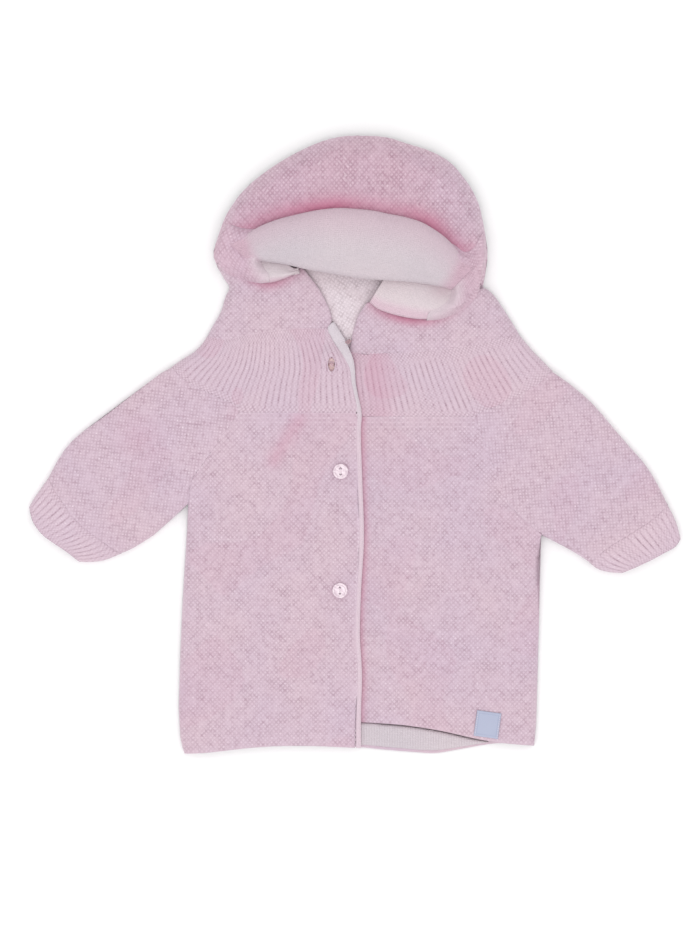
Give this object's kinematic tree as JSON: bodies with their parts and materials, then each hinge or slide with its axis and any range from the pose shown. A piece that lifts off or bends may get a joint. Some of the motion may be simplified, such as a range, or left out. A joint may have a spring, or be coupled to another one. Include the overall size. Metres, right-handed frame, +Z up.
{
  "type": "hooded baby cardigan",
  "caption": "Baby's hooded knitted cardigan laid flat: ribbed yoke and cuffs, buttoned placket, and a puffed hood with a rolled, pale-lined rim.",
  "frame": {"origin": "centre of the outline, on the level surface that the garment lies on", "axes": "+X to the wearer's left, +Y from the hem to the hood, +Z up from the surface, towards the camera"},
  "size_m": [0.507, 0.4805, 0.033],
  "materials": {
    "pink_knit": "pale pink marl moss stitch, matt",
    "pink_rib": "pale pink marl rib, matt",
    "pale_lining": "off-white fine jersey, matt",
    "placket_facing": "pale grey-white smooth facing, matt",
    "pearl_button": "pearly translucent, glossy",
    "woven_label": "blue-grey satin weave"
  },
  "bodies": {
    "root": {"back_panel": "pink_knit", "yoke_back": "pink_rib", "hood_back": "pink_knit", "neck_lining": "pale_lining", "hem_lining": "pale_lining", "front_left": "pink_knit", "front_right": "pink_knit", "placket_facing": "placket_facing", "yoke_front_left": "pink_rib", "yoke_front_right": "pink_rib", "sleeve_right": "pink_knit", "sleeve_left": "pink_knit", "cuff_right": "pink_rib", "cuff_left": "pink_rib", "hood_side_right": "pink_knit", "hood_side_left": "pink_knit", "hood_crown": "pink_knit", "hood_band": "pale_lining", "hood_lip_right": "pale_lining", "hood_lip_left": "pale_lining", "button_middle": "pearl_button", "button_lower": "pearl_button", "button_top": "pearl_button", "hem_label": "woven_label"}
  },
  "joints": []
}
